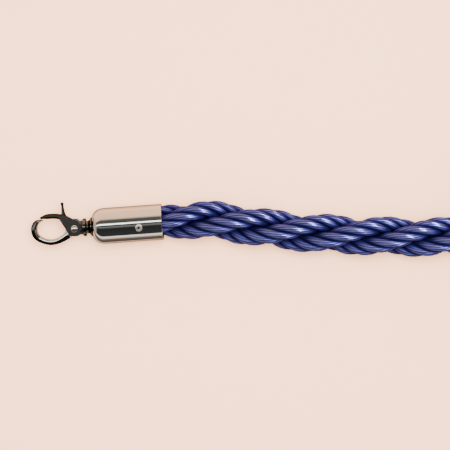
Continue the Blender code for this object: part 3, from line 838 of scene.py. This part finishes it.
def cap_mesh():
    """The drawn cap: domed shoulder, straight barrel and rolled mouth."""
    outside = []
    inside = []
    for k in range(CAP_SHOULDER_STEPS + 1):
        turn = math.radians(90 * k / CAP_SHOULDER_STEPS)
        run, rise = 1 - math.cos(turn), 1 - math.sin(turn)
        outside.append((CAP_FRONT + CAP_SHOULDER_LENGTH * run, CAP_RADIUS - CAP_SHOULDER_DROP * rise))
        inside.append((
            CAP_FRONT + CAP_WALL + (CAP_SHOULDER_LENGTH - CAP_WALL) * run,
            CAP_RADIUS - CAP_WALL - (CAP_SHOULDER_DROP - CAP_WALL / 2) * rise,
        ))
    bore = SHANK_RADIUS + CAP_BORE_GAP
    lip = CAP_WALL / 2
    outline = [(CAP_FRONT, bore)] + outside
    outline += quarter_turn(CAP_MOUTH - lip, CAP_RADIUS - lip, lip, 90, CAP_LIP_STEPS)
    outline += quarter_turn(CAP_MOUTH - lip, CAP_RADIUS - lip, lip, 0, CAP_LIP_STEPS)[1:]
    outline += inside[::-1] + [(CAP_FRONT + CAP_WALL, bore)]
    return to_mesh("cap", turned(outline, CAP_SIDES), SHARP_TURNED)


def screw_mesh():
    """A button-headed screw along +X with a hexagonal recess."""
    seat = CAP_RADIUS + SCREW_SEAT_GAP
    rise = SCREW_HEAD_HEIGHT - SCREW_RIM
    dome = dome_points(seat + SCREW_RIM, rise, SCREW_HEAD_RADIUS, SCREW_DOME)
    start = CAP_RADIUS - SCREW_DEPTH
    outline = [(start, 0), (start + SCREW_RADIUS, SCREW_RADIUS), (seat, SCREW_RADIUS)]
    outline += [(seat, SCREW_HEAD_RADIUS)] + dome + [(dome[-1][0], 0)]
    obj = add_object("screw", to_mesh("screw", turned(outline, SMALL_SIDES, closed=False)))
    recess = rod(SCREW_RECESS_RADIUS, seat - SCREW_RECESS_DEPTH, seat + CUT_REACH, 6)
    tool = helper(obj, "DIFFERENCE", recess)
    made = evaluated_mesh(obj, "screw")
    bpy.data.objects.remove(tool)
    return made


# ---- shapes grown by node trees

def shape_tree(name, inputs):
    """A node tree for a modifier, with named inputs; returns its net and input wires."""
    tree = bpy.data.node_groups.new(name, "GeometryNodeTree")
    tree.interface.new_socket("Geometry", in_out="INPUT", socket_type="NodeSocketGeometry")
    tree.interface.new_socket("Geometry", in_out="OUTPUT", socket_type="NodeSocketGeometry")
    for label, kind in inputs:
        tree.interface.new_socket(label, in_out="INPUT", socket_type=f"NodeSocket{kind}")
    net = Net(tree)
    start = tree.nodes.new("NodeGroupInput")
    return net, {socket.name: Wire(net, socket) for socket in start.outputs if socket.name}


def close_tree(net, geometry, material):
    """Ends a tree in real geometry with its material."""
    real = net.node("GeometryNodeRealizeInstances", {}, {0: geometry})
    smooth = net.node("GeometryNodeSetShadeSmooth", {}, {"Geometry": real})
    done = net.node("GeometryNodeSetMaterial", {}, {"Geometry": smooth, "Material": material})
    end = net.tree.nodes.new("NodeGroupOutput")
    net.feed(end.inputs[0], done)


def grow(obj, tree, values, name):
    """Runs a tree on an object and returns the plain mesh that it makes."""
    modifier = obj.modifiers.new(tree.name, "NODES")
    modifier.node_group = tree
    labels = {item.name: item.identifier for item in tree.interface.items_tree
              if item.in_out == "INPUT"}
    for label, value in values.items():
        modifier[labels[label]] = value
    return evaluated_mesh(obj, name)


def route_object(name, points):
    """A curve of straight spans through points, for a tree to follow."""
    curve = bpy.data.curves.new(name, "CURVE")
    curve.dimensions = "3D"
    spline = curve.splines.new("POLY")
    spline.points.add(len(points) - 1)
    for point, place in zip(spline.points, points):
        point.co = (*place, 1.0)
    return add_object(name, curve)


def stored(net, geometry, name, value, kind="FLOAT"):
    settings = {"data_type": kind, "domain": "POINT"}
    return net.node(
        "GeometryNodeStoreNamedAttribute", settings,
        {"Geometry": geometry, "Name": name, "Value": value},
    )


def round_profile(net, sides, radius):
    """A circle that carries its angle as a sine and a cosine, so that yarns close round it."""
    circle = net.node(
        "GeometryNodeCurvePrimitiveCircle", {"mode": "RADIUS"},
        {"Resolution": sides, "Radius": radius},
    )
    angle = net.node("GeometryNodeSplineParameter") * math.tau
    circle = stored(net, circle, "around_sine", net.maths("SINE", angle))
    return stored(net, circle, "around_cosine", net.maths("COSINE", angle))


def laid_rope_tree():
    """Strands laid round a route, each of plies twisted the other way about a core yarn."""
    net, given = shape_tree("laid_rope", (
        ("Strands", "Int"), ("Plies", "Int"), ("Rope Radius", "Float"), ("Strand Lay", "Float"),
        ("Ply Lay", "Float"), ("Strand Start", "Float"), ("Fullness", "Float"),
        ("Unevenness", "Float"), ("Mouth Radius", "Float"), ("Inside", "Float"),
        ("Swell Length", "Float"), ("Step", "Float"), ("Ply Sides", "Int"),
        ("Material", "Material"),
    ))
    strands, plies = given["Strands"], given["Plies"]
    radius = given["Rope Radius"]
    strand_share = 1 / (1 + 1 / net.maths("SINE", math.pi / strands))
    strand_radius = radius * strand_share
    strand_offset = radius - strand_radius
    ply_radius = strand_radius / (1 + 1 / net.maths("SINE", math.pi / plies))
    ply_offset = strand_radius - ply_radius

    copies = net.node(
        "GeometryNodeDuplicateElements", {"domain": "SPLINE"},
        {"Geometry": net.resampled(given["Geometry"], given["Step"]), "Amount": strands * (plies + 1)},
    )
    index = Wire(net, copies.socket.node.outputs["Duplicate Index"])
    strand = net.maths("FLOOR", index / (plies + 1))
    ply = index - strand * (plies + 1)
    outer = net.maths("LESS_THAN", ply, plies)

    along = net.node("GeometryNodeSplineParameter", out=1)
    length = net.node("GeometryNodeSplineLength")
    from_mouth = net.maths("MINIMUM", along, length - along) - given["Inside"]
    share = net.clamped(from_mouth / given["Swell Length"]) ** SWELL_POWER
    narrow = given["Mouth Radius"] / radius
    swell = narrow + (1 - narrow) * net.maths("SINE", share * (math.pi / 2))

    way = net.node("GeometryNodeInputTangent")
    side = net.vector("NORMALIZE", net.vector("CROSS_PRODUCT", way, (0.0, 0.0, 1.0)))
    over = net.vector("CROSS_PRODUCT", side, way)
    turn = strand * math.tau / strands + given["Strand Start"] - along * math.tau / given["Strand Lay"]
    cosine, sine = net.maths("COSINE", turn), net.maths("SINE", turn)
    out = net.vector("ADD", net.scaled(over, cosine), net.scaled(side, sine))
    round_way = net.vector("SUBTRACT", net.scaled(side, cosine), net.scaled(over, sine))
    lean = -1.0 * strand_offset * math.tau / given["Strand Lay"]
    strand_way = net.vector("NORMALIZE", net.vector("ADD", way, net.scaled(round_way, lean)))
    across = net.vector("CROSS_PRODUCT", strand_way, out)
    twist = ply * math.tau / plies + along * math.tau / given["Ply Lay"]
    cosine, sine = net.maths("COSINE", twist), net.maths("SINE", twist)
    ply_out = net.vector("ADD", net.scaled(out, cosine), net.scaled(across, sine))
    to_core = net.scaled(out, strand_offset * swell)
    offset = net.vector("ADD", to_core, net.scaled(ply_out, ply_offset * swell * outer))
    along_scale, ply_scale = UNEVEN_SCALES
    uneven_inputs = {0: along * along_scale, 1: index * ply_scale}
    uneven = net.noise(net.node("ShaderNodeCombineXYZ", {}, uneven_inputs), 1.0, 1.0) - 0.5
    here = net.node("GeometryNodeInputPosition")
    marked = copies
    for label, value in (
        ("along", along), ("swell", swell), ("ply", index),
        ("thickness", swell * (1 + uneven * given["Unevenness"])),
    ):
        marked = stored(net, marked, label, value)
    marked = stored(net, marked, "centre", here, "FLOAT_VECTOR")
    marked = stored(net, marked, "core", net.vector("ADD", here, to_core), "FLOAT_VECTOR")
    wound = net.node("GeometryNodeSetPosition", {}, {"Geometry": marked, "Offset": offset})
    profile = round_profile(net, given["Ply Sides"], ply_radius * given["Fullness"])
    tube = net.swept(wound, profile, net.recalled("thickness"))
    # how far each point stands out from the rope's and the strand's middle; the finish paints shade on
    # the low points
    for label, middle, full in (("standing", "centre", radius), ("crest", "core", strand_radius)):
        reach = net.vector("DISTANCE", here, net.recalled(middle, "FLOAT_VECTOR"), out=1)
        tube = stored(net, tube, label, reach / (full * net.recalled("swell")))
    close_tree(net, tube, given["Material"])
    return net.tree


def wound_wire_tree():
    """A round wire or twine along a route."""
    net, given = shape_tree("wound_wire", (
        ("Radius", "Float"), ("Sides", "Int"), ("Step", "Float"), ("Material", "Material"),
    ))
    line = net.resampled(given["Geometry"], given["Step"])
    profile = round_profile(net, given["Sides"], given["Radius"])
    close_tree(net, net.swept(line, profile), given["Material"])
    return net.tree


def rope_route():
    """The rope's own line, and the same line carried a little way into both caps."""
    line = millimetres(ROPE_ROUTE_MM)
    inside = Vector((-ROPE_INSIDE_CAP, 0, 0))
    return [tuple(Vector(line[0]) + inside)] + line + [tuple(Vector(line[-1]) + inside)]


def make_rope(material):
    line = smooth_line(rope_route(), ROUTE_POINTS)
    values = {
        "Strands": STRANDS, "Plies": PLIES, "Rope Radius": ROPE_DIAMETER / 2,
        "Strand Lay": STRAND_LAY, "Ply Lay": PLY_LAY, "Strand Start": STRAND_START,
        "Fullness": PLY_FULLNESS, "Unevenness": PLY_UNEVENNESS, "Mouth Radius": MOUTH_RADIUS,
        "Inside": ROPE_INSIDE_CAP, "Swell Length": SWELL_LENGTH, "Step": ROPE_STEP,
        "Ply Sides": PLY_SIDES, "Material": material,
    }
    mesh = grow(route_object("rope_route", line), laid_rope_tree(), values, "laid_rope")
    rope = add_object("laid_rope", mesh)
    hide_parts("rope")
    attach(rope, "rope_and_caps")
    return rope, line[::CORD_PATH_STEP]


def strap_route():
    """Centre line of the strap, wound nearly twice round both runs; its layers lie on each other."""
    middle = sum(TIE_RUNS_Y) / 2
    half = (TIE_RUNS_Y[1] - TIE_RUNS_Y[0]) / 2
    inner = ROPE_DIAMETER / 2 + TIE_CLEARANCE + TIE_LAYER / 2
    loop = []
    for centre, start in ((middle + half, -90), (middle - half, 90)):
        loop += [(centre, start + 180 * k / TIE_ARC_STEPS, 0) for k in range(TIE_ARC_STEPS)]
        loop += [(centre, start + 180, k / TIE_FLAT_STEPS) for k in range(TIE_FLAT_STEPS)]
    total = len(loop)
    points = []
    for k in range(int(TIE_TURNS * total)):
        centre, turn, slide = loop[k % total]
        radius = inner + TIE_LAYER * min(k / total, 1.0 + TIE_LOOSENESS * k / total)
        side = math.copysign(2 * half, middle - centre) * slide
        angle = math.radians(turn)
        y = centre + side + radius * math.cos(angle)
        points.append((TIE_AT, y, TIE_RUN_HEIGHT + radius * math.sin(angle)))
    return points


def make_tie(material):
    """A woven strap with rounded edges and a rounded end."""
    points = np.array(strap_route())
    count = len(points)
    ways = np.gradient(points, axis=0)
    ways /= np.linalg.norm(ways, axis=1)[:, None]
    outs = np.cross((1.0, 0.0, 0.0), ways)
    gone = np.concatenate([[0.0], np.cumsum(np.linalg.norm(np.diff(points, axis=0), axis=1))])
    corners = TIE_CORNERS
    edge_power, face_power = TIE_SQUARENESS
    verts = []
    faces = []
    along = []
    across = []
    for k in range(count):
        before_curve = 1 - min((gone[-1] - gone[k]) / TIE_ROUNDED_END, 1)
        narrow = min(1.0, math.sqrt(max(0.0, 1 - before_curve**2)) + TIE_TIP)
        for n in range(corners):
            turn = math.tau * (n + 0.5) / corners
            c, s = math.cos(turn), math.sin(turn)
            x = 0.5 * TIE_WIDTH * math.copysign(abs(c) ** edge_power, c) * narrow
            z = TIE_HALF_THICKNESS * math.copysign(abs(s) ** face_power, s)
            verts.append(points[k] + np.array((x, 0, 0)) + outs[k] * z)
            along.append(gone[k])
            across.append(x)
    for k in range(count - 1):
        for n in range(corners):
            m = (n + 1) % corners
            a, b = k * corners, (k + 1) * corners
            faces.append((a + n, a + m, b + m, b + n))
    faces.append(tuple(range(corners)))
    faces.append(tuple(range((count - 1) * corners, count * corners)))
    mesh = bpy.data.meshes.new("tie_webbing")
    mesh.from_pydata([tuple(v) for v in verts], [], faces)
    shape = bmesh.new()
    shape.from_mesh(mesh)
    bmesh.ops.recalc_face_normals(shape, faces=shape.faces)
    shape.to_mesh(mesh)
    shape.free()
    mesh.shade_smooth()
    store_values(mesh, "along", along)
    store_values(mesh, "across", across)
    tie = add_object("tie_webbing", mesh, material)
    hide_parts("tie_strap")
    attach(tie, "rope_and_caps")
    return tie


def spring_route():
    """Coil round the rivet, ending in the leg that presses the gate's arm."""
    per_turn = SPRING_TURN_POINTS
    count = round(SPRING_TURNS * per_turn)
    last = math.radians(SPRING_LEG_ANGLE - 90)
    px, py = PIVOT
    coil = []
    for k in range(count + 1):
        angle = last - math.tau * (count - k) / per_turn
        x = px + SPRING_RADIUS * math.cos(angle)
        y = py + SPRING_RADIUS * math.sin(angle)
        coil.append((x, y, SPRING_START + SPRING_PITCH * k / per_turn))
    way = math.radians(SPRING_LEG_ANGLE)
    x, y, z = coil[-1]
    end = (x + SPRING_LEG * math.cos(way), y + SPRING_LEG * math.sin(way), z)
    return coil + [end]


def whipping_route():
    """Twine wound in touching turns round the cut end of the rope."""
    turns = (BINDING_END - BINDING_START) / (2 * TWINE_RADIUS)
    count = int(turns * TWINE_TURN_POINTS)
    points = []
    for k in range(count):
        angle = math.tau * k / TWINE_TURN_POINTS
        x = BINDING_START + (BINDING_END - BINDING_START) * k / (count - 1)
        points.append((x, BINDING_RADIUS * math.cos(angle), BINDING_RADIUS * math.sin(angle)))
    return points


def whipping_mesh(material, tree):
    """The bound end: a core plug under its twine."""
    values = {
        "Radius": TWINE_RADIUS, "Sides": TWINE_SIDES, "Step": TWINE_STEP, "Material": material,
    }
    twine = grow(route_object("whipping", whipping_route()), tree, values, "whipping")
    core = rod(BINDING_RADIUS, BINDING_START, BINDING_END, SMALL_SIDES)
    bmesh.ops.recalc_face_normals(core, faces=core.faces)
    core.from_mesh(twine)
    core.to_mesh(twine)
    core.free()
    twine.shade_smooth()
    return twine


# ---- assembly

def placed(mesh, name, prefix, material, body, nodes):
    """A copy of a mesh at the near or far fitting, riding on its body in place of CAD nodes."""
    copy = mesh.copy()
    if prefix == "far":
        copy.transform(Matrix.Translation(FAR_FITTING))
    copy.materials.clear()
    obj = add_object(f"{prefix}_{name}", copy, material)
    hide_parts(*(f"{prefix}_{node}" for node in nodes))
    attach(obj, body)
    return obj


def make_fittings(chrome, smoked, satin, steel, twine):
    """Both fittings from one set of meshes; returns the far one's pieces."""
    wire_tree = wound_wire_tree()
    spring_values = {
        "Radius": SPRING_WIRE_RADIUS, "Sides": SPRING_SIDES, "Step": SPRING_STEP,
        "Material": steel,
    }
    spring = grow(route_object("spring", spring_route()), wire_tree, spring_values, "spring")
    whipping = whipping_mesh(twine, wire_tree)
    screws = bmesh.new()
    for side in (0, 1):
        screw = screw_mesh()
        screw.transform(screw_place(side))
        screws.from_mesh(screw)
    screws_mesh = bpy.data.meshes.new("screws")
    screws.to_mesh(screws_mesh)
    screws.free()
    hook, gate, rivet, bush, cap = hook_mesh(), gate_mesh(), rivet_mesh(), bush_mesh(), cap_mesh()
    far_pieces = []
    for prefix in ("near", "far"):
        swivel, trigger = f"{prefix}_swivel_hook", f"{prefix}_trigger"
        rows = (
            (hook, "hook_casting", chrome, swivel, "chrome_fitting", ["hook"]),
            (gate, "gate_casting", smoked, trigger, "chrome_fitting", ["gate"]),
            (rivet, "rivet", chrome, swivel, "chrome_fitting", ["pivot_rivet"]),
            (spring, "spring", steel, swivel, "plain_steel", ["gate_spring"]),
            (bush, "flared_bush", chrome, "rope_and_caps", "chrome_fitting", ["swivel_collar"]),
            (cap, "drawn_cap", chrome, "rope_and_caps", "chrome_fitting", ["end_cap"]),
            (screws_mesh, "cap_screws", satin, "rope_and_caps", "chrome_fitting",
             ["fixing_screw_1", "fixing_screw_2"]),
            (whipping, "whipping", twine, "rope_and_caps", "binding_twine", ["bound_end"]),
        )
        for mesh, name, material, body, slot, nodes in rows:
            obj = placed(mesh, name, prefix, material, body, nodes)
            if prefix == "far":
                far_pieces.append(obj)
        for node in ("swivel_washer", "swivel_nut"):
            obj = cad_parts[f"{prefix}_{node}"]
            obj.data.materials.clear()
            obj.data.materials.append(steel)
            if prefix == "far":
                far_pieces.append(obj)
    return far_pieces


def make_camera():
    data = bpy.data.cameras.new("camera")
    data.lens = LENS
    data.sensor_width = SENSOR
    data.clip_start = NEAREST_SEEN
    camera = add_object("camera", data)
    camera.location = (*VIEW_CENTRE, VIEW_WIDTH * LENS / SENSOR)
    camera.rotation_euler = (0, 0, math.radians(VIEW_TURN))
    bpy.context.scene.camera = camera


def make_lamp(name, place, size, power, aim, tint):
    data = bpy.data.lights.new(name, "AREA")
    data.shape = "RECTANGLE"
    data.size, data.size_y = size
    data.energy = power
    data.color = tint
    lamp = add_object(name, data)
    lamp.location = place
    lamp.rotation_euler = (Vector(aim) - Vector(place)).to_track_quat("-Z", "Y").to_euler()
    return lamp


def make_card(name, low, high):
    """A dark card lying beside the object, which only shows in reflections."""
    z = FLOOR_HEIGHT + MM
    mesh = bpy.data.meshes.new(name)
    corners = [(low[0], low[1], z), (high[0], low[1], z), (high[0], high[1], z), (low[0], high[1], z)]
    mesh.from_pydata(corners, [], [(0, 1, 2, 3)])
    material = finish_material(name, {"Base Color": opaque(CARD_COLOUR)})[0]
    card = add_object(name, mesh, material)
    card.visible_camera = False
    card.visible_diffuse = False
    card.visible_shadow = False


def make_tent():
    """Even light for all but reflections, which see long strips over the object instead."""
    world = bpy.data.worlds.new("studio")
    bpy.context.scene.world = world
    world.use_nodes = True
    net = Net(world.node_tree)
    background = world.node_tree.nodes["Background"]
    way = net.node("ShaderNodeTexCoord", out=0)
    parts = net.node("ShaderNodeSeparateXYZ", {}, {0: way})
    x, y, z = (Wire(net, output) for output in parts.socket.node.outputs)
    share = (net.maths("ARCTAN2", y, z) * (180 / math.pi) + 90) / 180
    stops = [((degrees + 90) / 180, tint) for degrees, tint in TENT_BANDS]
    tent = net.node("ShaderNodeValToRGB", {"stops": stops}, {0: share})
    ends = net.eased(net.maths("ABSOLUTE", x), *TENT_END_FADE)
    seen = net.blend(ends, tent, opaque(TENT_END_TINT))
    reflected = net.node("ShaderNodeLightPath", out=3)
    net.feed(background.inputs["Color"], net.blend(reflected, opaque(FILL), seen))
    background.inputs["Strength"].default_value = 1.0


def make_room(rope):
    """Pale table, a soft key lamp above it, and a strip lamp that only gives the rope its sheen."""
    shape = bmesh.new()
    cells = TABLE_CELLS
    bmesh.ops.create_grid(shape, x_segments=cells, y_segments=cells, size=TABLE_HALF_SIZE)
    bmesh.ops.translate(shape, verts=shape.verts, vec=(*TABLE_CENTRE, FLOOR_HEIGHT - TABLE_DROP))
    table = add_object("table", to_mesh("table", shape), studio_table())
    key = make_lamp("key", *KEY_LAMP)
    key.visible_glossy = False
    strip = make_lamp("strip", *STRIP_LAMP)
    strip.visible_diffuse = False
    lustrous = bpy.data.collections.new("lustrous")
    lustrous.objects.link(rope)
    strip.light_linking.receiver_collection = lustrous
    for name, low, high in CARDS:
        make_card(name, low, high)
    make_tent()


def main():
    make_camera()
    rope, rope_line = make_rope(satin_rope())
    chrome = plating("polished_chrome", CHROME, CHROME_EDGE, CHROME_ROUGHNESS)
    smoked = plating("smoked_chrome", DARK_PLATING_AND_REFLECTION, SMOKED_EDGE, SMOKED_ROUGHNESS)
    satin = plating("satin_nickel", NICKEL, CHROME_EDGE, NICKEL_ROUGHNESS)
    steel, twine = plain_steel(), waxed_twine()
    tie = make_tie(woven_strap())
    far_pieces = make_fittings(chrome, smoked, satin, steel, twine)
    make_room(rope)


main()
